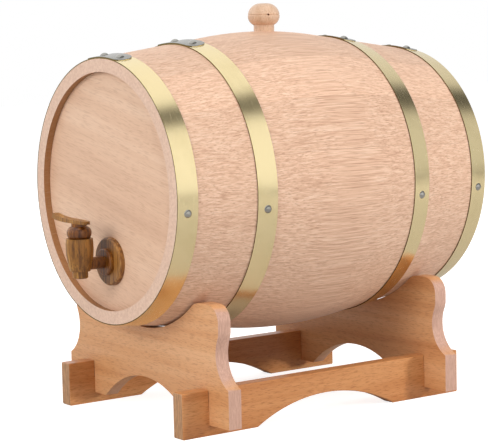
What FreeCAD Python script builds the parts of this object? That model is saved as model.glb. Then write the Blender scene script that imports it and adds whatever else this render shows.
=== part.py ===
import FreeCAD, Part
import math
import os
import Sketcher

# An oak cask lying on a beech stand, with a wooden tap in one head.
# Lengths are millimetres and angles degrees. The dispenser stands on z = 0, the tap looks along -Y,
# and the cask lies along Y. Angles round the cask run from +X up through +Z.

DRIVING = [
    # The cask
    ("cask_length", 330.0, "over both chimes"),
    ("chime_diameter", 223.0, "outside the staves at either end"),
    ("belly_diameter", 262.0, "outside the staves at mid-length"),
    ("belly_bend", 50.0, "half length of the curved middle, straight cones beyond"),
    ("axis_height", 197.0, "cask axis above the floor"),
    ("cask_set_back", 6.0, "mid-length of the cask behind the middle of the stand"),
    ("stave_count", 17, "staves round the cask"),
    ("stave_thickness", 11.0, "square to the stave"),
    ("stave_turn", 1.4, "bung stave turned from upright, towards +X"),
    ("stave_joint", 0.1, "gap between two staves at the belly"),
    ("croze_width", 5.0, "groove that holds a head, along the cask"),
    ("croze_depth", 3.0, "groove into the stave"),
    ("chime_depth", 6.7, "from the stave ends to the face of a head"),
    # The heads
    ("head_thickness", 9.0, "boards of a head"),
    ("head_gap", 0.2, "head to staves, all round"),
    ("head_board", 78.0, "width of the middle board"),
    ("front_grain", 13.0, "front boards turned from level, down to the right"),
    ("rear_grain", 24.0, "rear boards turned from level"),
    ("dowel_diameter", 5.0, "dowels that join the boards"),
    ("dowel_length", 22.0, "across a joint"),
    ("dowel_spread", 34.0, "dowel from the middle of its joint"),
    ("dowel_gap", 0.05, "dowel in its hole, on the radius"),
    # The hoops and what holds them
    ("hoop_width", 18.0, "along the cask"),
    ("hoop_thickness", 0.8, "brass strip"),
    ("hoop_gap", 0.05, "strip to staves"),
    ("front_quarter", 84.5, "middle of the front inner hoop from mid-length"),
    ("rear_quarter", 80.5, "middle of the rear inner hoop from mid-length"),
    ("lap_low", 75.8, "free end of the strip, round the cask"),
    ("lap_high", 99.5, "other end of the double layer"),
    ("lap_corner", 8.5, "rounded corners of the free end"),
    ("rivet_low", 80.8, "first rivet, round the cask"),
    ("rivet_high", 93.5, "second rivet, round the cask"),
    ("rivet_head", 7.4, "diameter"),
    ("rivet_dome", 1.9, "height"),
    ("rivet_shank", 3.0, "diameter"),
    ("nail_drop", 5.6, "nails below the level of the axis, round the cask"),
    ("nail_head", 6.8, "diameter"),
    ("nail_dome", 2.0, "height"),
    ("nail_shank", 1.6, "diameter"),
    ("nail_cover", 0.6, "wood between the tip of a chime nail and the croze"),
    ("pin_gap", 0.05, "rivet or nail in its hole, on the radius"),
    # The bung
    ("bung_set_back", 5.7, "bung behind mid-length"),
    ("bung_neck", 18.2, "diameter where it enters the stave"),
    ("bung_tip", 15.6, "diameter at the lower end"),
    ("bung_plug", 17.0, "length below the crown of the cask"),
    ("bung_gap", 0.06, "bung in its hole, on the radius"),
    ("knob_diameter", 28.2, "turned knob of the bung"),
    ("knob_height", 24.5, "above the crown of the cask"),
    ("knob_crown", 11.0, "radius that rounds the top"),
    ("knob_under", 9.0, "radius that rounds the underside"),
    ("knob_line", 14.4, "turned line, above the crown of the cask"),
    ("knob_line_depth", 0.5, "turned line"),
    ("knob_hole", 2.0, "small cross hole, diameter"),
    ("knob_hole_depth", 4.0, "small cross hole"),
    ("knob_hole_side", 19.1, "cross hole, from +X towards -Y"),
    # The tap
    ("tap_drop", 59.0, "stem axis below the cask axis"),
    ("tap_reach", 31.3, "tap axis in front of the head"),
    ("rosette_diameter", 40.5, "round plate behind the stem"),
    ("rosette_thickness", 5.0, "round plate"),
    ("rosette_bevel", 1.3, "front edge of the plate"),
    ("collar_diameter", 23.0, "collar of the stem"),
    ("collar_thickness", 4.2, "collar of the stem"),
    ("collar_bevel", 1.5, "front edge of the collar"),
    ("stem_diameter", 10.5, "between collar and tap body"),
    ("shank_big", 14.0, "diameter of the shank behind the collar"),
    ("shank_small", 12.4, "diameter of the shank at its end"),
    ("shank_inside", 12.0, "shank beyond the back of the head"),
    ("shank_gap", 0.05, "shank in the plate and the head, on the radius"),
    ("tenon_diameter", 7.0, "front end of the stem"),
    ("port_diameter", 4.5, "way for the liquor"),
    ("tap_top", 21.9, "top of the tap body above the stem axis"),
    ("tap_belly", 23.3, "largest diameter of the tap body"),
    ("tap_belly_drop", 7.5, "largest diameter below the top"),
    ("tap_belly_round", 63.0, "radius of the swelling side"),
    ("tap_length", 27.2, "tap body above the spout"),
    ("spout_diameter", 13.0, "spout"),
    ("spout_length", 6.2, "spout"),
    ("spout_round", 1.2, "edge of the spout"),
    ("outlet_diameter", 6.0, "bore of the spout"),
    ("socket_floor", 26.0, "bottom of the key socket below the top"),
    ("socket_counterbore", 8.2, "floor of the stem's recess from the tap axis"),
    ("cork_thickness", 1.2, "cork sleeve round the key"),
    ("key_top", 12.8, "diameter of the key at the top of the body"),
    ("key_tip", 10.4, "diameter of the key at its lower end"),
    ("key_gap", 0.05, "key in the cork, on the radius"),
    ("key_end_gap", 0.4, "below the key, and below the cork half of it"),
    ("key_lift", 0.3, "head of the key above the tap body"),
    ("key_foot", 17.8, "diameter of the key's head at its foot"),
    ("key_belly", 20.8, "largest diameter of the key's head"),
    ("key_belly_height", 5.2, "largest diameter above the tap body"),
    ("key_shoulder", 10.2, "shoulder of the key's head above the tap body"),
    ("key_neck", 12.9, "diameter of the neck under the lever"),
    ("key_tenon", 5.0, "peg that carries the lever, diameter"),
    ("key_tenon_length", 2.2, "peg that carries the lever"),
    ("lever_seat", 12.5, "underside of the lever above the tap body"),
    ("lever_long", 38.4, "long arm at its top edge"),
    ("lever_short", 14.2, "short arm at its top edge"),
    ("lever_hub", 14.0, "flat part of the long arm"),
    ("lever_rise", 2.1, "underside of the long arm's end above its seat"),
    ("lever_tip", 4.3, "thickness at the long end"),
    ("lever_middle", 3.4, "thickness where the long arm starts to rise"),
    ("lever_end", 2.6, "thickness at the short end"),
    ("lever_cant", 1.8, "slant of the long end"),
    ("lever_width", 8.4, "across the hub"),
    ("lever_tip_width", 6.6, "across both ends"),
    ("lever_corner", 2.4, "rounded corners of the ends"),
    # The stand
    ("board_gap", 221.0, "between the cradles"),
    ("board_thickness", 12.5, "cradles"),
    ("board_bottom", 9.0, "underside of the cradles above the floor"),
    ("foot_spread", 12.5, "feet beyond the horns, on each side"),
    ("shoulder_drop", 27.0, "top of a foot's end below the waist"),
    ("waist_inset", 4.5, "waist inside the horns, on each side"),
    ("waist_drop", 40.5, "waist below the top of the horns"),
    ("horn_drop", 88.5, "top of the horns below the cask axis"),
    ("horn_flat", 9.8, "level top of a horn on the rear cradle"),
    ("horn_blend", 17.0, "radius that swells the horn above the waist"),
    ("horn_corner", 14.0, "radius of the horn's outer corner"),
    ("horn_lip", 18.0, "radius from the horn's top into the seat"),
    ("seat_gap", 0.3, "cask to the edge that carries it"),
    ("arch_reach", 65.0, "half width of the arch under a cradle"),
    ("arch_rise", 26.3, "arch under a cradle"),
    ("runner_spacing", 180.0, "between the middles of the runners"),
    ("runner_width", 13.0, "runners"),
    ("runner_height", 38.0, "runners"),
    ("runner_length", 299.0, "runners"),
    ("runner_arch_reach", 74.0, "half length of the arch under a runner"),
    ("runner_arch_rise", 19.5, "arch under a runner"),
    ("lap_height", 23.5, "height at which cradles and runners halve into each other"),
]

# Sizes that follow from the driving ones
WORKED = [
    ("half_length", "dims.cask_length / 2"),
    ("chime_radius", "dims.chime_diameter / 2"),
    ("belly_radius", "dims.belly_diameter / 2"),
    ("swell", "belly_radius - chime_radius"),
    # The straight cone of the cask, tangent to the curved middle: a first value, then a closer one
    ("cone_run", "half_length - dims.belly_bend / 2"),
    ("slope_guess", "swell / cone_run"),
    ("slope_excess", "(sqrt(1 + slope_guess^2) - 1) / slope_guess - slope_guess / 2"),
    ("slope", "(swell - dims.belly_bend * slope_excess) / cone_run"),
    ("slant", "sqrt(1 + slope^2)"),
    ("taper", "atan(slope)"),
    ("bend_radius", "dims.belly_bend * slant / slope"),
    ("inner_bend_radius", "bend_radius - dims.stave_thickness"),
    ("wall", "dims.stave_thickness * slant"),
    # Where the heads sit
    ("head_face", "half_length - dims.chime_depth"),
    ("head_middle", "head_face - dims.head_thickness / 2"),
    ("croze_outer", "head_middle + dims.croze_width / 2"),
    ("croze_inner", "head_middle - dims.croze_width / 2"),
    ("croze_radius", "chime_radius - wall + slope * (half_length - head_middle) + dims.croze_depth"),
    ("head_radius", "chime_radius - wall + slope * dims.chime_depth - dims.head_gap"),
    # The nails, long enough for the chime hoops and short of the croze under them
    ("nail_start", "chime_radius + slope * dims.hoop_width / 2 + dims.hoop_gap + dims.hoop_thickness"),
    ("nail_length", "nail_start - croze_radius - dims.nail_cover"),
    # Places along Y
    ("tap_distance", "head_face + dims.tap_reach"),
    ("mid_y", "(tap_distance + dims.tap_belly / 2 - half_length) / 2"),
    ("stand_y", "mid_y - dims.cask_set_back"),
    ("chime_hoop", "half_length - dims.hoop_width / 2"),
    ("board_middle", "(dims.board_gap + dims.board_thickness) / 2"),
    ("crown_height", "dims.axis_height + belly_radius"),
    ("stem_height", "dims.axis_height - dims.tap_drop"),
    ("tap_height", "stem_height + dims.tap_top"),
    # The tap
    ("cork_top_radius", "dims.key_top / 2 + dims.key_gap"),
    ("cork_tip_radius", "dims.key_tip / 2 + dims.key_gap"),
    ("key_length", "dims.socket_floor - dims.key_end_gap"),
    ("cork_length", "dims.socket_floor - dims.key_end_gap / 2"),
    ("tap_round_centre", "dims.tap_belly / 2 - dims.tap_belly_round"),
    ("knob_radius", "dims.knob_diameter / 2"),
    ("knob_widest", "dims.knob_height - dims.knob_crown"),
    ("knob_inset", "dims.bung_neck / 2 - knob_radius + dims.knob_under"),
    ("knob_neck", "knob_widest - sqrt(dims.knob_under^2 - knob_inset^2)"),
    ("bung_flare", "(dims.bung_neck - dims.bung_tip) / 2 / dims.bung_plug"),
    # The outline of a cradle: the scoop above the foot, and the horn tangent to it
    ("horn_height", "dims.axis_height - dims.horn_drop"),
    ("waist_height", "horn_height - dims.waist_drop"),
    ("lip_drop", "dims.horn_drop + dims.horn_lip"),
    ("rear_contact", "half_length - dims.board_gap / 2 + dims.cask_set_back"),
    ("rear_seat", "chime_radius + slope * rear_contact + dims.seat_gap"),
    ("rear_lip", "sqrt((rear_seat + dims.horn_lip)^2 - lip_drop^2)"),
    ("horn_reach", "rear_lip + dims.horn_flat + dims.horn_corner"),
    ("waist_reach", "horn_reach - dims.waist_inset"),
    ("foot_reach", "horn_reach + dims.foot_spread"),
    ("scoop_run", "foot_reach - waist_reach"),
    ("shoulder_height", "waist_height - dims.shoulder_drop"),
    ("scoop_rise", "waist_height - shoulder_height"),
    ("scoop_radius", "(scoop_run^2 + scoop_rise^2) / (2 * scoop_run)"),
    ("scoop_centre", "waist_reach + scoop_radius"),
    ("blend_centre", "horn_reach - dims.horn_blend"),
    ("blend_span", "scoop_radius + dims.horn_blend"),
    ("blend_height", "waist_height + sqrt(blend_span^2 - (scoop_centre - blend_centre)^2)"),
    ("blend_share", "scoop_radius / blend_span"),
    ("blend_x", "scoop_centre + (blend_centre - scoop_centre) * blend_share"),
    ("blend_z", "waist_height + (blend_height - waist_height) * blend_share"),
    ("arch_radius", "(dims.arch_reach^2 + dims.arch_rise^2) / (2 * dims.arch_rise)"),
    ("runner_arch_square", "dims.runner_arch_reach^2 + dims.runner_arch_rise^2"),
    ("runner_arch_radius", "runner_arch_square / (2 * dims.runner_arch_rise)"),
]

TAP_CONES = 6

doc = FreeCAD.newDocument("cask_dispenser")


def make_sheet(name, rows):
    """A spreadsheet with one aliased cell for each row of name, content and note."""
    sheet = doc.addObject("Spreadsheet::Sheet", name)
    for line, row in enumerate(rows, start=1):
        sheet.set("A%d" % line, row[0])
        sheet.set("B%d" % line, str(row[1]))
        sheet.setAlias("B%d" % line, row[0])
        if len(row) > 2:
            sheet.set("C%d" % line, row[2])
    return sheet


dims = make_sheet("dims", DRIVING)
doc.recompute()
calc = make_sheet("calc", [(name, "=" + rule) for name, rule in WORKED])
doc.recompute()


def number(rule):
    """The present value of an expression, for a sketch's first guess and for counting."""
    found = dims.evalExpression(str(rule))
    return float(getattr(found, "Value", found))


def bind(item, field, rule):
    item.setExpression(field, str(rule))


# Outlines
# An outline is a list of corners, each (u, v) in a straight run from the corner before it, or
# (u, v, radius, turn) at the end of an arc that turns "left" or "right". The first corner's arc
# closes the outline.

def arc_centre(start, end, radius, turn):
    half = (end - start) * 0.5
    rise = math.sqrt(max(radius ** 2 - half.Length ** 2, 0.0))
    left = FreeCAD.Vector(-half.y, half.x, 0).normalize()
    return start + half + left * (rise if turn == "left" else -rise)


def draw(sketch, outline):
    """Add a closed outline to a sketch, with every corner and radius bound to its expression."""
    places = [FreeCAD.Vector(number(step[0]), number(step[1]), 0) for step in outline]
    first = sketch.GeometryCount
    count = len(outline)
    ends = []
    for step in range(count):
        goal = (step + 1) % count
        start, end = places[step], places[goal]
        if len(outline[goal]) == 2:
            sketch.addGeometry(Part.LineSegment(start, end), False)
            ends.append((1, 2))
            continue
        radius, turn = outline[goal][2], outline[goal][3]
        centre = arc_centre(start, end, number(radius), turn)
        circle = Part.Circle(centre, FreeCAD.Vector(0, 0, 1), number(radius))
        ccw = (start, end) if turn == "left" else (end, start)
        angles = [math.atan2(place.y - centre.y, place.x - centre.x) for place in ccw]
        if angles[1] < angles[0]:
            angles[1] += 2 * math.pi
        sketch.addGeometry(Part.ArcOfCircle(circle, *angles), False)
        ends.append((1, 2) if turn == "left" else (2, 1))
    for step in range(count):
        goal = (step + 1) % count
        here, there = first + step, first + goal
        sketch.addConstraint(Sketcher.Constraint("Coincident", here, ends[step][1], there, ends[goal][0]))
    for step, corner in enumerate(outline):
        for kind, rule in (("DistanceX", corner[0]), ("DistanceY", corner[1])):
            datum = Sketcher.Constraint(kind, -1, 1, first + step, ends[step][0], number(rule))
            bind(sketch, "Constraints[%d]" % sketch.addConstraint(datum), rule)
        if len(corner) == 4:
            datum = Sketcher.Constraint("Radius", first + (step - 1) % count, number(corner[2]))
            bind(sketch, "Constraints[%d]" % sketch.addConstraint(datum), corner[2])


def mirrored(half):
    """A closed outline from its right half, which runs from the bottom round to the top."""
    outline = list(half)
    for step in range(len(half) - 1, -1, -1):
        corner = half[step]
        follows = half[(step + 1) % len(half)]
        arc = follows[2:] if step + 1 < len(half) else half[0][4:]
        outline.append(("-(%s)" % corner[0], corner[1]) + tuple(arc))
    outline[0] = tuple(half[0][:4])
    return outline


# Features

def make_body(label, where=None):
    body = doc.addObject("PartDesign::Body", label)
    body.Label = label
    if where:
        bind(body, "Placement", where)
    return body


def make_sketch(body, plane, outlines):
    sketch = body.newObject("Sketcher::SketchObject", "outline")
    base = [item for item in body.Origin.OriginFeatures if item.Role == plane][0]
    sketch.AttachmentSupport = (base, [""])
    sketch.MapMode = "FlatFace"
    for outline in outlines:
        draw(sketch, outline)
    return sketch


def revolve(body, plane, axis, outline, angle=None):
    """Turn an outline about a sketch axis, all the way, or by an angle shared both ways."""
    sketch = make_sketch(body, plane, [outline])
    turn = body.newObject("PartDesign::Revolution", "turned")
    turn.Profile = sketch
    turn.ReferenceAxis = (sketch, [axis])
    turn.Angle = 360
    if angle:
        turn.Midplane = True
        bind(turn, "Angle", angle)
    return turn


def pad(body, plane, outline, thickness):
    """Thicken an outline by the same amount on both sides of its plane."""
    block = body.newObject("PartDesign::Pad", "thick")
    block.Profile = make_sketch(body, plane, [outline])
    block.Midplane = True
    bind(block, "Length", thickness)
    return block


def pocket(body, plane, outlines, depth):
    """Cut outlines through the body, by the same amount on both sides of their plane."""
    cut = body.newObject("PartDesign::Pocket", "cut")
    cut.Profile = make_sketch(body, plane, outlines)
    cut.Midplane = True
    bind(cut, "Length", depth)
    return cut


def drill(body, radius, depth, where):
    """Bore a hole that starts at a place and runs along that place's own Z."""
    hole = body.newObject("PartDesign::SubtractiveCylinder", "hole")
    bind(hole, "Radius", radius)
    bind(hole, "Height", depth)
    bind(hole, "Placement", where)
    return hole


def rod(name, radius, length, where):
    """A loose cylinder that starts at a place and runs along that place's own Z."""
    item = doc.addObject("Part::Cylinder", name)
    bind(item, "Radius", radius)
    bind(item, "Height", length)
    bind(item, "Placement", where)
    return item


def group(label, items):
    bundle = doc.addObject("Part::Compound", label)
    bundle.Label = label
    bundle.Links = items
    return bundle


def carve(label, base, tools, where=None):
    """A piece that is its base less one or more tools."""
    cut = doc.addObject("Part::Cut", label)
    cut.Label = label
    cut.Base = base
    cut.Tool = tools[0] if len(tools) == 1 else group(label + "_tools", tools)
    if where:
        bind(cut, "Placement", where)
    return cut


def place(x, y, z, turn=None):
    """A placement expression: a point, and a rotation expression where the piece is turned."""
    return "placement(vector(%s; %s; %s); %s)" % (x, y, z, turn or about("Y", 0))


def about(axis, angle):
    vector = {"X": "vector(1; 0; 0)", "Y": "vector(0; 1; 0)", "Z": "vector(0; 0; 1)"}[axis]
    return "rotation(%s; %s)" % (vector, angle)


# Places in the cask

CASK = ("0", "calc.mid_y", "dims.axis_height")


def radius_at(distance):
    """Outside of the staves at a distance from mid-length, on the straight cones."""
    return "(calc.chime_radius + calc.slope * (calc.half_length - (%s)))" % distance


def on_hoop(side, distance, angle, layers):
    """A place on the outside of a hoop, its Z square to the strip and pointing out."""
    radius = "(%s + dims.hoop_gap + %d * dims.hoop_thickness)" % (radius_at(distance), layers)
    x = "%s * cos(%s)" % (radius, angle)
    y = "calc.mid_y + %d * (%s)" % (side, distance)
    z = "dims.axis_height + %s * sin(%s)" % (radius, angle)
    turn = "%s * %s" % (about("Y", "90 - (%s)" % angle), about("X", "%d * calc.taper" % -side))
    return place(x, y, z, turn)


def dome_pin(label, where, head, dome, shank, length):
    """A domed head on a round shank, its underside at the place and the shank running down."""
    pin = make_body(label, where)
    sphere = "((%s / 2)^2 + (%s)^2) / (2 * (%s))" % (head, dome, dome)
    revolve(pin, "XZ_Plane", "V_Axis", [
        ("0", "-(%s)" % length),
        ("%s / 2" % shank, "-(%s)" % length),
        ("%s / 2" % shank, "0"),
        ("%s / 2" % head, "0"),
        ("0", dome, sphere, "left"),
    ])
    return pin


sub_parts = []


def keep(piece):
    sub_parts.append(piece)
    return piece


# The fasteners of the four hoops, and the holes that they need
HOOPS = [
    ("front_chime_hoop", -1, "calc.chime_hoop"),
    ("front_quarter_hoop", -1, "dims.front_quarter"),
    ("rear_quarter_hoop", 1, "dims.rear_quarter"),
    ("rear_chime_hoop", 1, "calc.chime_hoop"),
]
NAIL_ANGLES = ["-dims.nail_drop", "180 + dims.nail_drop"]
RIVET_ANGLES = ["dims.rivet_low", "dims.rivet_high"]

nail_holes = {}
for angle in NAIL_ANGLES:
    nail_holes[angle] = []

for label, side, distance in HOOPS:
    rivets = []
    nails = []
    holes = []
    for place_no, angle in enumerate(RIVET_ANGLES, start=1):
        where = on_hoop(side, distance, angle, 2)
        rivets.append(dome_pin("%s_rivet_%d" % (label, place_no), where, "dims.rivet_head",
                               "dims.rivet_dome", "dims.rivet_shank", "2 * dims.hoop_thickness"))
        bore = where + " * " + place("0", "0", "-3 * dims.hoop_thickness")
        holes.append(rod(label + "_rivet_hole", "dims.rivet_shank / 2 + dims.pin_gap",
                         "4 * dims.hoop_thickness", bore))
    for place_no, angle in enumerate(NAIL_ANGLES, start=1):
        where = on_hoop(side, distance, angle, 1)
        nails.append(dome_pin("%s_nail_%d" % (label, place_no), where, "dims.nail_head",
                              "dims.nail_dome", "dims.nail_shank", "calc.nail_length"))
        bore = where + " * " + place("0", "0", "-calc.nail_length - dims.pin_gap")
        hole = rod(label + "_nail_hole", "dims.nail_shank / 2 + dims.pin_gap",
                   "calc.nail_length + dims.nail_dome", bore)
        holes.append(hole)
        nail_holes[angle].append(hole)

    # The strip: the double layer first, with its free end rounded, then the whole ring
    blank = make_body(label + "_strip", place(*CASK, about("Y", "90 - (dims.lap_low + dims.lap_high) / 2")))
    near = "(%s - dims.hoop_width / 2)" % distance
    far = "(%s + dims.hoop_width / 2)" % distance

    def layer(low, high):
        rise = "%s + dims.hoop_gap + %d * dims.hoop_thickness"
        return [
            ("%d * %s" % (side, near), rise % (radius_at(near), low)),
            ("%d * %s" % (side, far), rise % (radius_at(far), low)),
            ("%d * %s" % (side, far), rise % (radius_at(far), high)),
            ("%d * %s" % (side, near), rise % (radius_at(near), high)),
        ]

    revolve(blank, "YZ_Plane", "H_Axis", layer(1, 2), "dims.lap_high - dims.lap_low")
    outside = "(%s + dims.hoop_gap + 2 * dims.hoop_thickness)" % radius_at(distance)
    tip = "(%s * sin((dims.lap_high - dims.lap_low) / 2))" % outside
    corners = []
    for edge, turn in ((-1, "right"), (1, "left")):
        line = "(%d * %s + %d * dims.hoop_width / 2)" % (side, distance, edge)
        inset = "%s - %d * dims.lap_corner" % (line, edge)
        beyond = "%s + %d * dims.hoop_thickness" % (line, edge)
        corners.append([
            ("%s - dims.lap_corner" % tip, line),
            ("%s - dims.lap_corner" % tip, beyond),
            ("%s + 4 * dims.hoop_thickness" % tip, beyond),
            ("%s + 4 * dims.hoop_thickness" % tip, inset),
            (tip, inset),
        ])
        corners[-1][0] += ("dims.lap_corner", turn)
    pocket(blank, "XY_Plane", corners, "4 * calc.belly_radius")
    revolve(blank, "YZ_Plane", "H_Axis", layer(0, 1))
    keep(carve(label, blank, holes))
    keep(group(label + "_rivets", rivets))
    keep(group(label + "_nails", nails))

# The staves: one outline in the plane of the cask's axis, turned by each stave's share
INNER_TURN = ("calc.inner_bend_radius * calc.slope / calc.slant",
              "calc.belly_radius - calc.bend_radius + calc.inner_bend_radius / calc.slant")
BEND_EDGE = "%s" % radius_at("dims.belly_bend")
INNER_END = "calc.chime_radius - calc.wall"


def inside_at(distance):
    return "(%s - calc.wall)" % radius_at(distance)


STAVE = [
    ("-calc.half_length", INNER_END),
    ("-calc.half_length", "calc.chime_radius"),
    ("-dims.belly_bend", BEND_EDGE),
    ("dims.belly_bend", BEND_EDGE, "calc.bend_radius", "right"),
    ("calc.half_length", "calc.chime_radius"),
    ("calc.half_length", INNER_END),
    ("calc.croze_outer", inside_at("calc.croze_outer")),
    ("calc.croze_outer", "calc.croze_radius"),
    ("calc.croze_inner", "calc.croze_radius"),
    ("calc.croze_inner", inside_at("calc.croze_inner")),
    INNER_TURN,
    ("-(%s)" % INNER_TURN[0], INNER_TURN[1], "calc.inner_bend_radius", "left"),
    ("-calc.croze_inner", inside_at("calc.croze_inner")),
    ("-calc.croze_inner", "calc.croze_radius"),
    ("-calc.croze_outer", "calc.croze_radius"),
    ("-calc.croze_outer", inside_at("calc.croze_outer")),
]

BUNG_PLACE = ("0", "calc.mid_y + dims.bung_set_back", "calc.crown_height")
bung_hole = doc.addObject("Part::Cone", "bung_hole")
bind(bung_hole, "Radius1", "dims.bung_neck / 2 + dims.bung_gap - calc.bung_flare * 2 * dims.stave_thickness")
bind(bung_hole, "Radius2", "dims.bung_neck / 2 + dims.bung_gap + calc.bung_flare * dims.stave_thickness")
bind(bung_hole, "Height", "3 * dims.stave_thickness")
bung_hole_start = BUNG_PLACE[2] + " - 2 * dims.stave_thickness"
bind(bung_hole, "Placement", place(BUNG_PLACE[0], BUNG_PLACE[1], bung_hole_start))

stave_count = int(number("dims.stave_count"))
share = 360.0 / stave_count
for index in range(stave_count):
    label = "stave_%02d" % (index + 1)
    lean = "dims.stave_turn - 360 / dims.stave_count * %d" % index
    tools = []
    if index == 0:
        tools.append(bung_hole)
    for angle in NAIL_ANGLES:
        middle = 90 - number(lean)
        apart = (number(angle) - middle + 180) % 360 - 180
        if abs(apart) < share / 2:
            tools += nail_holes[angle]
    stave = make_body(label + "_blank" if tools else label, place(*CASK, about("Y", lean)))
    joint = "dims.stave_joint / calc.belly_radius * 180 / pi"
    revolve(stave, "YZ_Plane", "H_Axis", STAVE, "360 / dims.stave_count - " + joint)
    keep(carve(label, stave, tools) if tools else stave)

# The heads: a disc with a tongue for the croze, sawn into three boards that dowels join
tongue = "(dims.croze_width / 2 - dims.dowel_gap)"
disc = make_body("head_disc")
revolve(disc, "YZ_Plane", "H_Axis", [
    ("-dims.head_thickness / 2", "0"),
    ("-dims.head_thickness / 2", "calc.head_radius"),
    ("-" + tongue, "calc.head_radius"),
    ("-" + tongue, "calc.croze_radius - dims.head_gap"),
    (tongue, "calc.croze_radius - dims.head_gap"),
    (tongue, "calc.head_radius"),
    ("dims.head_thickness / 2", "calc.head_radius"),
    ("dims.head_thickness / 2", "0"),
])

shank_run = "(dims.rosette_thickness + dims.head_thickness + dims.shank_inside)"
shank_flare = "((dims.shank_big - dims.shank_small) / 2 / %s)" % shank_run
tap_hole = doc.addObject("Part::Cone", "tap_hole")
shank_at_head = "(dims.shank_big / 2 + dims.shank_gap - %s * dims.rosette_thickness)" % shank_flare
bind(tap_hole, "Radius1", shank_at_head)
bind(tap_hole, "Radius2", "%s - %s * dims.head_thickness" % (shank_at_head, shank_flare))
bind(tap_hole, "Height", "dims.head_thickness")
bind(tap_hole, "Placement", place("dims.tap_drop * sin(dims.front_grain)", "-dims.head_thickness / 2",
                                  "-dims.tap_drop * cos(dims.front_grain)", about("X", -90)))

dowel_places = []
for seam in (-1, 1):
    for end in (-1, 1):
        height = "%d * dims.head_board / 2 - dims.dowel_length / 2" % seam
        dowel_places.append(place("%d * dims.dowel_spread" % end, "0", height))
dowel_holes = []
deeper = place("0", "0", "-dims.dowel_gap")
for where in dowel_places:
    dowel_holes.append(rod("dowel_hole", "dims.dowel_diameter / 2 + dims.dowel_gap",
                           "dims.dowel_length + 2 * dims.dowel_gap", where + " * " + deeper))

BOARDS = [
    ("lower_board", "-calc.croze_radius", "-dims.head_board / 2"),
    ("middle_board", "-dims.head_board / 2", "dims.head_board / 2"),
    ("upper_board", "dims.head_board / 2", "calc.croze_radius"),
]
for head, side, grain in (("front_head", -1, "dims.front_grain"), ("rear_head", 1, "dims.rear_grain")):
    where = place("0", "calc.mid_y + %d * calc.head_middle" % side, "dims.axis_height", about("Y", grain))
    for board, low, high in BOARDS:
        label = "%s_%s" % (head, board)
        saw = doc.addObject("Part::Box", label + "_saw")
        bind(saw, "Length", "2 * calc.croze_radius")
        bind(saw, "Width", "dims.head_thickness")
        bind(saw, "Height", "(%s) - (%s)" % (high, low))
        bind(saw, "Placement", place("-calc.croze_radius", "-dims.head_thickness / 2", low))
        blank = doc.addObject("Part::Common", label + "_blank")
        blank.Base = disc
        blank.Tool = saw
        tools = list(dowel_holes)
        if label == "front_head_lower_board":
            tools.append(tap_hole)
        keep(carve(label, blank, tools, where))
    dowels = []
    for place_no, spot in enumerate(dowel_places, start=1):
        dowels.append(rod("%s_dowel_%d" % (head, place_no), "dims.dowel_diameter / 2",
                          "dims.dowel_length", where + " * " + spot))
    keep(group(head + "_dowels", dowels))

# The bung: turned in one piece, with a line and a small cross hole in its knob
bung = keep(make_body("bung", place(*BUNG_PLACE)))
line_edge = "(calc.knob_radius - dims.knob_crown + sqrt(dims.knob_crown^2 - (%s - calc.knob_widest)^2))"
line_low = "(dims.knob_line - dims.knob_line_depth)"
line_high = "(dims.knob_line + dims.knob_line_depth)"
revolve(bung, "XZ_Plane", "V_Axis", [
    ("0", "-dims.bung_plug"),
    ("dims.bung_tip / 2", "-dims.bung_plug"),
    ("dims.bung_neck / 2", "0"),
    ("dims.bung_neck / 2", "calc.knob_neck"),
    ("calc.knob_radius", "calc.knob_widest", "dims.knob_under", "left"),
    (line_edge % line_low, line_low, "dims.knob_crown", "left"),
    (line_edge % "dims.knob_line" + " - dims.knob_line_depth", "dims.knob_line"),
    (line_edge % line_high, line_high),
    ("calc.knob_radius - dims.knob_crown", "dims.knob_height", "dims.knob_crown", "left"),
    ("0", "dims.knob_height"),
])
hole_start = "(calc.knob_radius - dims.knob_hole_depth)"
drill(bung, "dims.knob_hole / 2", "2 * dims.knob_hole_depth",
      place("%s * cos(dims.knob_hole_side)" % hole_start, "-%s * sin(dims.knob_hole_side)" % hole_start,
            "dims.knob_line", about("Z", "-dims.knob_hole_side") + " * " + about("Y", 90)))

# The tap's plate and stem: places run back from the face of the head, along the stem's axis
STEM = place("0", "calc.mid_y - calc.head_face", "calc.stem_height")
plate = keep(make_body("tap_rosette", STEM))
bore_front = "dims.shank_big / 2 + dims.shank_gap"
revolve(plate, "YZ_Plane", "H_Axis", [
    ("0", "%s - %s * dims.rosette_thickness" % (bore_front, shank_flare)),
    ("0", "dims.rosette_diameter / 2"),
    ("-dims.rosette_thickness + dims.rosette_bevel", "dims.rosette_diameter / 2"),
    ("-dims.rosette_thickness", "dims.rosette_diameter / 2 - dims.rosette_bevel"),
    ("-dims.rosette_thickness", bore_front),
])

stem = keep(make_body("tap_stem", STEM))
collar_face = "(-dims.rosette_thickness - dims.collar_thickness)"
cork_outside = "(calc.cork_tip_radius + dims.cork_thickness)"
tenon_tip = "-dims.tap_reach + %s + dims.cork_thickness" % cork_outside
revolve(stem, "YZ_Plane", "H_Axis", [
    (tenon_tip, "dims.port_diameter / 2"),
    (tenon_tip, "dims.tenon_diameter / 2"),
    ("-dims.tap_reach + dims.socket_counterbore", "dims.tenon_diameter / 2"),
    ("-dims.tap_reach + dims.socket_counterbore", "dims.stem_diameter / 2"),
    (collar_face, "dims.stem_diameter / 2"),
    (collar_face, "dims.collar_diameter / 2 - dims.collar_bevel"),
    ("%s + dims.collar_bevel" % collar_face, "dims.collar_diameter / 2", "dims.collar_bevel", "right"),
    ("-dims.rosette_thickness", "dims.collar_diameter / 2"),
    ("-dims.rosette_thickness", "dims.shank_big / 2"),
    ("dims.head_thickness + dims.shank_inside", "dims.shank_small / 2"),
    ("dims.head_thickness + dims.shank_inside", "dims.port_diameter / 2"),
])

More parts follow.
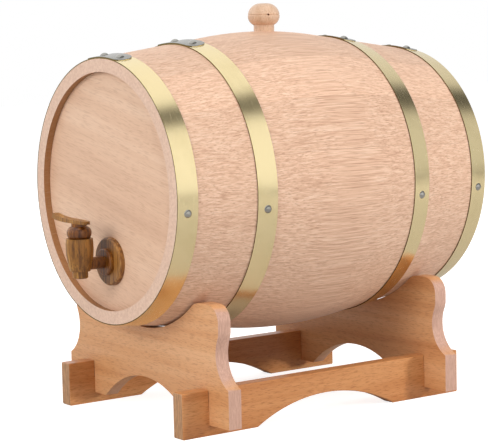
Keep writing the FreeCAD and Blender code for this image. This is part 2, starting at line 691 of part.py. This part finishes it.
# The tap body, its cork and its key: heights run from the top of the body, on the tap's axis
TAP = place("0", "calc.mid_y - calc.tap_distance", "calc.tap_height")
tap = keep(make_body("tap_body", TAP))
socket_top = "calc.cork_top_radius + dims.cork_thickness"
socket_tip = "calc.cork_tip_radius + dims.cork_thickness"
spout_end = "-dims.tap_length - dims.spout_length"
# The swelling side is a run of narrow cones with their edges on the arc
tap_side = []
for step in range(TAP_CONES, -1, -1):
    drop = "(dims.tap_length * %d / %d)" % (step, TAP_CONES)
    tap_side.append((
        "calc.tap_round_centre + sqrt(dims.tap_belly_round^2 - (%s - dims.tap_belly_drop)^2)" % drop,
        "-" + drop,
    ))
revolve(tap, "XZ_Plane", "V_Axis", [
    (socket_top, "0"),
    (socket_tip, "-dims.socket_floor"),
    ("dims.outlet_diameter / 2", "-dims.socket_floor"),
    ("dims.outlet_diameter / 2", spout_end),
    ("dims.spout_diameter / 2 - dims.spout_round", spout_end),
    ("dims.spout_diameter / 2", spout_end + " + dims.spout_round", "dims.spout_round", "left"),
    ("dims.spout_diameter / 2", "-dims.tap_length"),
] + tap_side)
BACKWARDS = about("X", -90)
drill(tap, "dims.stem_diameter / 2 + dims.pin_gap", "dims.tap_belly",
      place("0", "dims.socket_counterbore", "-dims.tap_top", BACKWARDS))
drill(tap, "dims.tenon_diameter / 2 + dims.pin_gap", "dims.socket_counterbore",
      place("0", "0", "-dims.tap_top", BACKWARDS))

cork = keep(make_body("tap_cork", TAP))
revolve(cork, "XZ_Plane", "V_Axis", [
    ("calc.cork_top_radius", "0"),
    ("calc.cork_tip_radius", "-calc.cork_length"),
    (socket_tip + " - dims.pin_gap", "-calc.cork_length"),
    (socket_top + " - dims.pin_gap", "0"),
])
drill(cork, "dims.port_diameter / 2", "dims.key_top", place("0", "0", "-dims.tap_top", BACKWARDS))

key = keep(make_body("tap_key", TAP))
port_top = "-dims.tap_top + dims.port_diameter / 2"
head_swell = "(dims.key_belly / 2 - dims.key_foot / 2)"
head_rise = "(dims.key_belly_height - dims.key_lift)"
neck_run = "(dims.key_belly / 2 - dims.key_neck / 2)"
neck_rise = "(dims.key_shoulder - dims.key_belly_height)"
tenon_top = "dims.lever_seat + dims.key_tenon_length"
revolve(key, "XZ_Plane", "V_Axis", [
    ("0", port_top),
    ("dims.port_diameter / 2", port_top),
    ("dims.port_diameter / 2", "-calc.key_length"),
    ("dims.key_tip / 2", "-calc.key_length"),
    ("dims.key_top / 2", "0"),
    ("dims.key_top / 2", "dims.key_lift"),
    ("dims.key_foot / 2", "dims.key_lift"),
    ("dims.key_belly / 2", "dims.key_belly_height",
     "(%s^2 + %s^2) / (2 * %s)" % (head_swell, head_rise, head_swell), "left"),
    ("dims.key_neck / 2", "dims.key_shoulder",
     "(%s^2 + %s^2) / (2 * %s)" % (neck_run, neck_rise, neck_run), "left"),
    ("dims.key_neck / 2", "dims.lever_seat"),
    ("dims.key_tenon / 2", "dims.lever_seat"),
    ("dims.key_tenon / 2", tenon_top),
    ("0", tenon_top),
])
drill(key, "dims.port_diameter / 2", "dims.key_top", place("0", "0", "-dims.tap_top", about("Y", 90)))

lever = keep(make_body("tap_lever", TAP))
arm = "(dims.lever_long - dims.lever_hub)"
under_arm = "(%s + dims.lever_cant)" % arm
over_rise = "(dims.lever_rise + dims.lever_tip - dims.lever_middle)"
pad(lever, "XZ_Plane", [
    ("dims.lever_short - 1", "dims.lever_seat"),
    ("dims.lever_short", "dims.lever_seat + dims.lever_end"),
    ("-dims.lever_hub", "dims.lever_seat + dims.lever_middle"),
    ("-dims.lever_long", "dims.lever_seat + dims.lever_rise + dims.lever_tip",
     "(%s^2 + %s^2) / (2 * %s)" % (arm, over_rise, over_rise), "right"),
    ("-dims.lever_long - dims.lever_cant", "dims.lever_seat + dims.lever_rise"),
    ("-dims.lever_hub", "dims.lever_seat",
     "(%s^2 + dims.lever_rise^2) / (2 * dims.lever_rise)" % under_arm, "left"),
], "dims.lever_width")
far_end = "(-dims.lever_long - dims.lever_cant)"
near_end = "dims.lever_short"
tip_half = "dims.lever_tip_width / 2"
keep_clear = "dims.lever_width"
pocket(lever, "XY_Plane", [
    [
        ("%s - %s" % (far_end, keep_clear), "-" + keep_clear),
        ("%s + %s" % (near_end, keep_clear), "-" + keep_clear),
        ("%s + %s" % (near_end, keep_clear), keep_clear),
        ("%s - %s" % (far_end, keep_clear), keep_clear),
    ],
    [
        (far_end, "%s - dims.lever_corner" % tip_half),
        (far_end, "-(%s) + dims.lever_corner" % tip_half),
        ("%s + dims.lever_corner" % far_end, "-(%s)" % tip_half, "dims.lever_corner", "left"),
        ("0", "-dims.lever_width / 2"),
        ("%s - dims.lever_corner" % near_end, "-(%s)" % tip_half),
        (near_end, "-(%s) + dims.lever_corner" % tip_half, "dims.lever_corner", "left"),
        (near_end, "%s - dims.lever_corner" % tip_half),
        ("%s - dims.lever_corner" % near_end, tip_half, "dims.lever_corner", "left"),
        ("0", "dims.lever_width / 2"),
        ("%s + dims.lever_corner" % far_end, tip_half),
    ],
], "4 * dims.lever_long")
drill(lever, "dims.key_tenon / 2 + dims.pin_gap", "dims.key_tenon_length + dims.pin_gap",
      place("0", "0", "dims.lever_seat"))

# The stand: two cradles halved over two runners
RUNNER_INNER = "(dims.runner_spacing / 2 - dims.runner_width / 2)"
RUNNER_OUTER = "(dims.runner_spacing / 2 + dims.runner_width / 2)"


def cradle_outline(seat):
    lip_span = "(%s + dims.horn_lip)" % seat
    lip_centre = "sqrt(%s^2 - calc.lip_drop^2)" % lip_span
    half = [
        ("dims.arch_reach", "dims.board_bottom", "calc.arch_radius", "right"),
        (RUNNER_INNER, "dims.board_bottom"),
        (RUNNER_INNER, "dims.lap_height"),
        (RUNNER_OUTER, "dims.lap_height"),
        (RUNNER_OUTER, "dims.board_bottom"),
        ("calc.foot_reach", "dims.board_bottom"),
        ("calc.foot_reach", "calc.shoulder_height"),
        ("calc.blend_x", "calc.blend_z", "calc.scoop_radius", "right"),
        ("calc.horn_reach", "calc.blend_height", "dims.horn_blend", "left"),
        ("calc.horn_reach", "calc.horn_height - dims.horn_corner"),
        ("calc.horn_reach - dims.horn_corner", "calc.horn_height", "dims.horn_corner", "left"),
        (lip_centre, "calc.horn_height"),
        ("%s * %s / %s" % (lip_centre, seat, lip_span),
         "dims.axis_height - calc.lip_drop * %s / %s" % (seat, lip_span), "dims.horn_lip", "left"),
    ]
    half[0] += (seat, "right")
    return mirrored(half)


for label, side in (("front_cradle", -1), ("rear_cradle", 1)):
    inner_face = "dims.board_gap / 2 - %d * dims.cask_set_back" % side
    seat = "(%s + dims.seat_gap)" % radius_at(inner_face)
    cradle = keep(make_body(label, place("0", "calc.stand_y + %d * calc.board_middle" % side, "0")))
    pad(cradle, "XZ_Plane", cradle_outline(seat), "dims.board_thickness")

runner_half = [
    ("dims.runner_arch_reach", "0", "calc.runner_arch_radius", "right"),
    ("dims.runner_length / 2", "0"),
    ("dims.runner_length / 2", "dims.runner_height"),
    ("dims.board_gap / 2 + dims.board_thickness", "dims.runner_height"),
    ("dims.board_gap / 2 + dims.board_thickness", "dims.lap_height"),
    ("dims.board_gap / 2", "dims.lap_height"),
    ("dims.board_gap / 2", "dims.runner_height"),
]
for label, side in (("left_runner", -1), ("right_runner", 1)):
    runner = keep(make_body(label, place("%d * dims.runner_spacing / 2" % side, "calc.stand_y", "0")))
    pad(runner, "YZ_Plane", mirrored(runner_half), "dims.runner_width")

doc.recompute()

faults = []
for item in doc.Objects:
    if "Invalid" in item.State or "Error" in item.State:
        faults.append("%s is %s" % (item.Label, item.State))
for piece in sub_parts:
    if piece.Shape.isNull() or not piece.Shape.isValid() or not piece.Shape.Solids:
        faults.append("%s has no valid solid" % piece.Label)
if faults:
    raise SystemExit("\n".join(faults))

os.makedirs("parts", exist_ok=True)
for piece in sub_parts:
    piece.Shape.exportStep("parts/%s.step" % piece.Label)
    print("%-28s solids %d  volume %.1f" % (piece.Label, len(piece.Shape.Solids), piece.Shape.Volume))
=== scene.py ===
import bpy
import math
from mathutils import Matrix, Vector

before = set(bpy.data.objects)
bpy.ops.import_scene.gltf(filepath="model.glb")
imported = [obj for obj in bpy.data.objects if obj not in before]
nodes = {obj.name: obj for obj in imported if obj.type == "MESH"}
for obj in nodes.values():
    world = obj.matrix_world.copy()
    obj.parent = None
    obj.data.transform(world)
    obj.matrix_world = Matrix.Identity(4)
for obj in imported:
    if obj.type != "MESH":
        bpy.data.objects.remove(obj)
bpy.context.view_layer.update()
scene = bpy.context.scene
bpy.ops.object.select_all(action="DESELECT")

MM = 0.001

# Places and sizes that the materials and the camera share, in metres
CASK_AXIS_Z = 0.197
CASK_MID_Y = 0.018125
STAVES = 17
STAVE_TURN = math.radians(1.4)
CHIME_RADIUS = 0.1115
CHIME_Y = 0.165
CONE_SLOPE = 0.1394
# Halfway up the second layer of a hoop, above the staves' cone
LAP_LEVEL = 0.00125

# How far the pores stray sideways, and how often, per metre
WAVER = 9.0
WAVER_RATE = 14.0
# How far the pattern jumps from one stave's plank to the next
PLANK_JUMP = (0.7, 0.9, 0.5)

# Light that isn't a lamp's
FLOOR_GLOW = 0.8
SKY_LIGHT = 0.46
WHITE = (1, 1, 1, 1)

scene.view_settings.view_transform = "Standard"


# Colours and nodes

def tint(code):
    """A linear colour from an sRGB hex value."""
    parts = [int(code[i:i + 2], 16) / 255 for i in (0, 2, 4)]
    linear = [p / 12.92 if p <= 0.04045 else ((p + 0.055) / 1.055) ** 2.4 for p in parts]
    return (*linear, 1.0)


def add(tree, kind, settings=None, links=None):
    """A node with its settings, and its inputs by name or number as values or as sockets."""
    node = tree.nodes.new(kind)
    for name, value in (settings or {}).items():
        setattr(node, name, value)
    for name, value in (links or {}).items():
        socket = node.inputs[name]
        if isinstance(value, bpy.types.NodeSocket):
            tree.links.new(value, socket)
        else:
            socket.default_value = value
    return node


def blend_colours(tree, share, first, second):
    return add(tree, "ShaderNodeMix", {"data_type": "RGBA"}, {0: share, 6: first, 7: second}).outputs[2]


def sums(tree, operation, first, second=0.0, third=0.0):
    return add(tree, "ShaderNodeMath", {"operation": operation},
               {0: first, 1: second, 2: third}).outputs[0]


def split_up(tree, vector):
    """The three parts of a vector."""
    return add(tree, "ShaderNodeSeparateXYZ", None, {0: vector}).outputs


def remap(tree, value, low, high, to_low=0.0, to_high=1.0, **settings):
    """A value stretched from one range to another, and held inside it."""
    return add(tree, "ShaderNodeMapRange", {"clamp": True, **settings},
               {"Value": value, "From Min": low, "From Max": high,
                "To Min": to_low, "To Max": to_high}).outputs[0]


def scaled(tree, vector, scale):
    return add(tree, "ShaderNodeMapping", None, {"Vector": vector, "Scale": scale}).outputs[0]


def noise(tree, vector, scale, detail, roughness=0.5, distortion=0.0):
    return add(tree, "ShaderNodeTexNoise", None,
               {"Vector": vector, "Scale": scale, "Detail": detail, "Roughness": roughness,
                "Distortion": distortion})


def relief(tree, shader, strength, distance, height):
    """Bump the shader's surface by a height."""
    bump = add(tree, "ShaderNodeBump", None,
               {"Strength": strength, "Distance": distance, "Height": height})
    tree.links.new(bump.outputs[0], shader.inputs["Normal"])


def ramp(tree, value, stops):
    """A colour ramp from stops of place and hex colour."""
    node = add(tree, "ShaderNodeValToRGB", None, {0: value})
    band = node.color_ramp
    while len(band.elements) > 1:
        band.elements.remove(band.elements[-1])
    band.elements[0].position = stops[0][0]
    band.elements[0].color = tint(stops[0][1])
    for place, code in stops[1:]:
        band.elements.new(place).color = tint(code)
    return node.outputs[0]


def new_finish(name):
    finish = bpy.data.materials.new(name)
    finish.use_nodes = True
    tree = finish.node_tree
    tree.nodes.clear()
    shader = add(tree, "ShaderNodeBsdfPrincipled")
    out = add(tree, "ShaderNodeOutputMaterial")
    tree.links.new(shader.outputs[0], out.inputs[0])
    return finish, tree, shader


def timber(name, grain, turn, pores, pore_dark, roughness, coat=0.0, bump=0.15, figure=6,
           stretch=0.035, pore_size=(0.9, 14), lines=0.35, stave_tones=0.0, end_grain=None,
           inside=None):
    """Planed wood whose fibres run along Y of the turned pattern.

    grain is a ramp of place and hex colour from dark late wood to pale early wood. pores is how
    far pore_dark covers it in a pore. figure is the width of a growth ring and pore_size the
    width and length of a pore, in mm. A low stretch draws the rings out along the fibres, and
    lines is the share of the narrow rings. stave_tones is how much the staves differ. end_grain
    names the axis of the fibres, two colours and how often the streaks come each way. inside is
    the colour of a stave's hollow side, which is painted shade."""
    finish, tree, shader = new_finish(name)
    where = add(tree, "ShaderNodeTexCoord").outputs["Object"]
    local = add(tree, "ShaderNodeMapping", {"vector_type": "TEXTURE"},
                {"Vector": where, "Location": AXIS, "Rotation": turn}).outputs[0]
    spot = split_up(tree, where)
    rise = sums(tree, "SUBTRACT", spot[2], CASK_AXIS_Z)

    # Each stave is sawn from its own plank, so the pattern jumps at a joint
    if stave_tones:
        angle = sums(tree, "SUBTRACT", sums(tree, "ARCTAN2", spot[0], rise), STAVE_TURN)
        share = sums(tree, "DIVIDE", angle, 2 * math.pi / STAVES)
        stave = sums(tree, "FLOOR", sums(tree, "ADD", share, STAVES + 0.5))
        plank = add(tree, "ShaderNodeTexWhiteNoise", {"noise_dimensions": "1D"}, {"W": stave})
        local = add(tree, "ShaderNodeVectorMath", {"operation": "MULTIPLY_ADD"},
                    {0: plank.outputs["Color"], 1: PLANK_JUMP, 2: local}).outputs[0]

    drawn_out = scaled(tree, local, (1, stretch, 1))
    wide_rings = noise(tree, drawn_out, 1000 / (figure * 6), 3.0).outputs[0]
    narrow_rings = noise(tree, drawn_out, 1000 / figure, 4.0, 0.55, 0.25).outputs[0]
    rings = sums(tree, "MULTIPLY_ADD", wide_rings, 1.0 - lines,
                 sums(tree, "MULTIPLY", narrow_rings, lines))
    colour = ramp(tree, rings, grain)

    # Open pores are short dark dashes along the fibres
    across_rate, along_rate = 1000 / pore_size[0], 1000 / pore_size[1]
    dash = scaled(tree, local, (across_rate, along_rate, across_rate))
    bends = noise(tree, local, WAVER_RATE, 1.0)
    dash = add(tree, "ShaderNodeVectorMath", {"operation": "MULTIPLY_ADD"},
               {0: bends.outputs["Color"], 1: (WAVER, 0.0, WAVER), 2: dash}).outputs[0]
    pore = remap(tree, noise(tree, dash, 1.0, 2.0, 0.6).outputs[0], 0.50, 0.68, 0.0, pores)
    colour = blend_colours(tree, pore, colour, tint(pore_dark))
    if stave_tones:
        shade = remap(tree, plank.outputs["Value"], 0.0, 1.0, 1.0 - stave_tones, 1.0 + stave_tones)
        colour = add(tree, "ShaderNodeHueSaturation", None,
                     {"Color": colour, "Value": shade}).outputs[0]

    # Painted shade: the hollow side of a stave is darkened as if in shadow
    facing = split_up(tree, add(tree, "ShaderNodeTexCoord").outputs["Normal"])
    if inside:
        outward = sums(tree, "MULTIPLY_ADD", facing[0], spot[0],
                       sums(tree, "MULTIPLY", facing[2], rise))
        hollow = remap(tree, outward, -0.02, -0.06)
        colour = blend_colours(tree, sums(tree, "MULTIPLY", hollow, 0.8), colour, tint(inside))

    # End grain shows where the surface lies across the fibres
    if end_grain:
        axis, code, speck, streak = end_grain
        cut_across = remap(tree, sums(tree, "ABSOLUTE", facing[axis]), 0.45, 0.8)
        speckle = noise(tree, scaled(tree, where, streak), 1.0, 3.0, 0.75)
        spots = remap(tree, speckle.outputs[0], 0.36, 0.64)
        end_colour = blend_colours(tree, spots, tint(code), tint(speck))
        colour = blend_colours(tree, cut_across, colour, end_colour)

    tree.links.new(colour, shader.inputs["Base Color"])
    rough = remap(tree, rings, 0.0, 1.0, roughness - 0.06, roughness + 0.08)
    tree.links.new(rough, shader.inputs["Roughness"])
    shader.inputs["IOR"].default_value = 1.5
    shader.inputs["Coat Weight"].default_value = coat
    shader.inputs["Coat Roughness"].default_value = 0.18
    height = sums(tree, "MULTIPLY_ADD", rings, 0.4, sums(tree, "MULTIPLY", pore, -0.6))
    relief(tree, shader, bump, 0.0006, height)
    return finish


def metal(name, code, dark, roughness, brush, wear=0.25, painted_edge_shade=None, painted_lap_reflection=None):
    """Rolled or stamped metal with fine scratches along brush and a few duller patches.

    The colour given for a strip's edges, which face along the cask, is painted shade, and the
    colour given for its second layer is a painted grey reflection."""
    finish, tree, shader = new_finish(name)
    where = add(tree, "ShaderNodeTexCoord").outputs["Object"]
    scratch = noise(tree, scaled(tree, where, brush), 1.0, 3.0, 0.6).outputs[0]
    patch = noise(tree, where, 28.0, 4.0, 0.6).outputs[0]
    colour = blend_colours(tree, remap(tree, patch, 0.5, 0.8, 0.0, wear), tint(code), tint(dark))
    # Painted shade: faces that point along the cask, which are the strip's edges, are darkened as if in
    # shadow
    if painted_edge_shade:
        facing = split_up(tree, add(tree, "ShaderNodeTexCoord").outputs["Normal"])
        edge_shade_mask = sums(tree, "GREATER_THAN", sums(tree, "ABSOLUTE", facing[1]), 0.7)
        colour = blend_colours(tree, edge_shade_mask, colour, tint(painted_edge_shade))
    # Painted reflection: the strip's second layer is tinted grey as if it mirrored something dark
    if painted_lap_reflection:
        spot = split_up(tree, where)
        rise = sums(tree, "SUBTRACT", spot[2], CASK_AXIS_Z)
        reach = sums(tree, "SQRT", sums(tree, "MULTIPLY_ADD", spot[0], spot[0],
                                        sums(tree, "MULTIPLY", rise, rise)))
        distance = sums(tree, "ABSOLUTE", sums(tree, "SUBTRACT", spot[1], CASK_MID_Y))
        level = sums(tree, "MULTIPLY_ADD", sums(tree, "SUBTRACT", CHIME_Y, distance), CONE_SLOPE,
                     CHIME_RADIUS + LAP_LEVEL)
        reflection_on_second_layer = sums(tree, "GREATER_THAN", reach, level)
        colour = blend_colours(tree, reflection_on_second_layer, colour, tint(painted_lap_reflection))
    tree.links.new(colour, shader.inputs["Base Color"])
    shader.inputs["Metallic"].default_value = 1.0
    rough = remap(tree, scratch, 0.0, 1.0, roughness - 0.05, roughness + 0.1)
    tree.links.new(rough, shader.inputs["Roughness"])
    relief(tree, shader, 0.08, 0.0002, scratch)
    return finish


# Finishes
# A turn is how the pattern's fibres lie: along the cask, across it, upright, or across aslant

AXIS = (0.0, CASK_MID_Y, CASK_AXIS_Z)
ALONG = (0.0, 0.0, 0.0)
ACROSS = (0.0, 0.0, math.radians(90))
UPRIGHT = (math.radians(90), 0.0, 0.0)


def aslant(angle):
    return (math.radians(-angle), 0.0, math.radians(-90))


# White oak, planed and oiled: pinkish beige with fine dark pores that run along the cask, and painted
# shade on the hollow side of the staves
stave_oak = timber("planed_white_oak", [(0.34, "cda388"), (0.5, "deb79b"), (0.64, "e8c6ac")],
                   ALONG, 0.62, "a87a5e", 0.5, figure=1.3, stretch=0.014, lines=0.88,
                   pore_size=(0.6, 30), stave_tones=0.05, bump=0.25,
                   end_grain=(1, "e6c6b0", "d6b39d", (380, 380, 380)), inside="935f22")
# The same oak in the heads, sanded finer, its boards set aslant
HEAD_GRAIN = [(0.34, "d6ae92"), (0.5, "e2bc9f"), (0.66, "eccbb0")]
front_oak = timber("sanded_oak_front_head", HEAD_GRAIN, aslant(13), 0.35, "b58768", 0.5, bump=0.12)
rear_oak = timber("sanded_oak_rear_head", HEAD_GRAIN, aslant(24), 0.35, "b58768", 0.5, bump=0.12)
# Beech, planed and stained warm: orange brown with short flecks and pale end grain
CRADLE_GRAIN = [(0.32, "c48350"), (0.5, "d89e6c"), (0.66, "e4b284")]
cradle_beech = timber("stained_beech_cradle", CRADLE_GRAIN, ACROSS, 0.35, "91501f", 0.42, coat=0.2,
                      pore_size=(0.8, 7), end_grain=(0, "cfa692", "ba917e", (900, 900, 110)))
RUNNER_GRAIN = [(0.32, "b8753f"), (0.5, "cc8f5a"), (0.66, "daa673")]
runner_beech = timber("stained_beech_runner", RUNNER_GRAIN, ALONG, 0.5, "91501f", 0.42, coat=0.2,
                      pore_size=(0.8, 7), end_grain=(1, "c4946a", "956c46", (900, 900, 110)))
# Turned hardwood, brown with dark streaks under satin varnish, its grain upright
TURNED = {"figure": 2.2, "lines": 0.6, "bump": 0.3}
tap_brown = timber("stained_turned_tap", [(0.36, "6a4012"), (0.5, "986526"), (0.62, "c08d46")],
                   UPRIGHT, 0.6, "341c08", 0.42, coat=0.12, pore_size=(0.6, 6), **TURNED)
# The turning key and the stem took the stain darker
key_brown = timber("dark_stained_tap_key", [(0.36, "451f04"), (0.5, "74400b"), (0.62, "a0661c")],
                   UPRIGHT, 0.6, "201006", 0.38, coat=0.18, pore_size=(0.6, 6), **TURNED)
# The plate behind the stem shows the streaks of its own board
plate_brown = timber("stained_tap_plate", [(0.36, "44250c"), (0.5, "80501f"), (0.62, "b07c40")],
                     UPRIGHT, 0.6, "281506", 0.42, coat=0.12, pore_size=(0.6, 8), **TURNED)
# Turned beech under clear varnish
knob_beech = timber("turned_beech_bung", [(0.3, "c9a282"), (0.5, "dab89c"), (0.68, "e6c8b2")],
                    UPRIGHT, 0.45, "a0744e", 0.4, coat=0.3, figure=3, pore_size=(0.6, 4))
cork_bark = timber("ground_cork", [(0.3, "9a7245"), (0.5, "b98f5e"), (0.68, "cfa878")],
                   ALONG, 0.7, "6e4826", 0.8, figure=1.5, pore_size=(0.8, 1.2))
# Rolled brass strip, faintly brushed round the cask, with painted shade on its edges and a painted grey
# reflection on its second layer
hoop_brass = metal("rolled_brass_strip", "efdcac", "bfa86e", 0.22, (90, 2500, 90),
                   painted_edge_shade="7a6634", painted_lap_reflection="8d8b84")
# Stamped steel, grey and polished
pin_steel = metal("plated_steel_pin", "a9a7a1", "5f5d59", 0.14, (400, 400, 400), 0.4)

# The finish of a piece by how its name ends, or else by how it starts: the first that fits
ENDINGS = [("_rivets", pin_steel), ("_nails", pin_steel), ("_hoop", hoop_brass),
           ("_dowels", knob_beech)]
STARTS = [
    ("stave_", stave_oak), ("front_head_", front_oak), ("rear_head_", rear_oak),
    ("bung", knob_beech), ("tap_cork", cork_bark), ("tap_key", key_brown), ("tap_stem", key_brown),
    ("tap_rosette", plate_brown), ("tap_", tap_brown), ("front_cradle", cradle_beech),
    ("rear_cradle", cradle_beech), ("left_runner", runner_beech), ("right_runner", runner_beech),
]
for name, node in nodes.items():
    fitting = [look for end, look in ENDINGS if name.endswith(end)]
    fitting += [look for start, look in STARTS if name.startswith(start)]
    node.data.materials.clear()
    node.data.materials.append(fitting[0])

# Edges that a plane leaves slightly round, in mm
EASED = {"front_head_": 0.25, "rear_head_": 0.25, "front_cradle": 0.9, "rear_cradle": 0.9,
         "left_runner": 0.9, "right_runner": 0.9}
for name, node in nodes.items():
    width = [size for start, size in EASED.items() if name.startswith(start)]
    if not width or name.endswith("_dowels"):
        continue
    weld = node.modifiers.new("joined", "WELD")
    weld.merge_threshold = 0.02 * MM
    bevel = node.modifiers.new("eased", "BEVEL")
    bevel.width = width[0] * MM
    bevel.segments = 2
    bevel.limit_method = "ANGLE"
    bevel.angle_limit = math.radians(40)
    bevel.harden_normals = True

# The floor
FLOOR_SIZE = 12.0
bpy.ops.mesh.primitive_plane_add(size=FLOOR_SIZE, location=(0, 0, 0))
floor = bpy.context.object
floor.name = "floor"
paper, tree, shader = new_finish("white_paper")
shader.inputs["Base Color"].default_value = tint("cccac8")
shader.inputs["Roughness"].default_value = 0.9
shader.inputs["Specular IOR Level"].default_value = 0.0
ray = add(tree, "ShaderNodeLightPath")
# The camera sees the paper as plain white, with the object's shadow on it
glow = add(tree, "ShaderNodeEmission", None, {"Color": WHITE, "Strength": FLOOR_GLOW})
lit = add(tree, "ShaderNodeAddShader", None, {0: shader.outputs[0], 1: glow.outputs[0]})
shown = add(tree, "ShaderNodeMixShader", None,
            {0: ray.outputs["Is Camera Ray"], 1: shader.outputs[0], 2: lit.outputs[0]})
end = [node for node in tree.nodes if node.type == "OUTPUT_MATERIAL"][0]
tree.links.new(shown.outputs[0], end.inputs[0])
floor.data.materials.append(paper)

# The camera, as fitted to the photograph
VIEW_TURN, VIEW_LIFT, VIEW_ROLL = (math.radians(a) for a in (54.34, 6.13, -1.251))
VIEW_FROM = (1.288554, -0.945151 + CASK_MID_Y, 0.330478)
FOCAL_PIXELS = 1798.955
PICTURE_PIXELS = 488
SENSOR_MM = 36

back = Vector((math.sin(VIEW_TURN) * math.cos(VIEW_LIFT),
               -math.cos(VIEW_TURN) * math.cos(VIEW_LIFT), math.sin(VIEW_LIFT)))
right = Vector((math.cos(VIEW_TURN), math.sin(VIEW_TURN), 0.0))
up = back.cross(right)
across = right * math.cos(VIEW_ROLL) + up * math.sin(VIEW_ROLL)
upright = up * math.cos(VIEW_ROLL) - right * math.sin(VIEW_ROLL)
facing = Matrix((across, upright, back)).transposed().to_4x4()
lens = bpy.data.cameras.new("camera")
camera = bpy.data.objects.new("camera", lens)
scene.collection.objects.link(camera)
camera.matrix_world = Matrix.Translation(VIEW_FROM) @ facing
lens.lens = FOCAL_PIXELS * SENSOR_MM / PICTURE_PIXELS
lens.sensor_width = SENSOR_MM
lens.clip_start = 0.01
scene.camera = camera


# The light

def lamp(name, place, aim, size, watts):
    """A square softbox that lights wood and metal, and is not itself mirrored in them."""
    light = bpy.data.lights.new(name, "AREA")
    light.size = size
    light.energy = watts
    holder = bpy.data.objects.new(name, light)
    scene.collection.objects.link(holder)
    holder.location = place
    holder.rotation_euler = (Vector(aim) - Vector(place)).to_track_quat("-Z", "Y").to_euler()
    holder.visible_glossy = False


lamp("top_softbox", (0.9, -0.5, 1.9), (0, 0, 0.18), 0.9, 15)
lamp("front_softbox", (0.3, -2.1, 0.9), (0, 0, 0.2), 0.9, 19)
lamp("right_softbox", (1.6, 1.25, 0.6), (0, 0, 0.15), 0.3, 21)
lamp("left_softbox", (-2.0, 0.4, 1.0), (0, 0, 0.2), 1.0, 12)

world = bpy.data.worlds.new("studio")
scene.world = world
world.use_nodes = True
tree = world.node_tree
tree.nodes.clear()
path = add(tree, "ShaderNodeLightPath")
soft = add(tree, "ShaderNodeBackground", None, {0: WHITE, 1: SKY_LIGHT})
white = add(tree, "ShaderNodeBackground", None, {0: WHITE, 1: 1.0})
# What metal and varnish mirror: white walls, a dark strip square to this direction, and a
# dimmer far end
STRIP_SQUARE_TO = (-0.826, -0.234, 0.513)
toward = add(tree, "ShaderNodeTexCoord").outputs["Generated"]
strip = add(tree, "ShaderNodeVectorMath", {"operation": "DOT_PRODUCT"}, {0: toward, 1: STRIP_SQUARE_TO})
away = sums(tree, "ABSOLUTE", strip.outputs["Value"])
walls = remap(tree, away, 0.08, 0.2, 0.12, 1.18, interpolation_type="SMOOTHSTEP")
far = remap(tree, split_up(tree, toward)[1], 0.35, 0.9, 1.0, 0.55)
mirrored = add(tree, "ShaderNodeBackground", None, {0: WHITE, 1: sums(tree, "MULTIPLY", walls, far)})
seen = add(tree, "ShaderNodeMixShader", None,
           {0: path.outputs["Is Camera Ray"], 1: soft.outputs[0], 2: white.outputs[0]})
both = add(tree, "ShaderNodeMixShader", None,
           {0: path.outputs["Is Glossy Ray"], 1: seen.outputs[0], 2: mirrored.outputs[0]})
out = add(tree, "ShaderNodeOutputWorld")
tree.links.new(both.outputs[0], out.inputs[0])
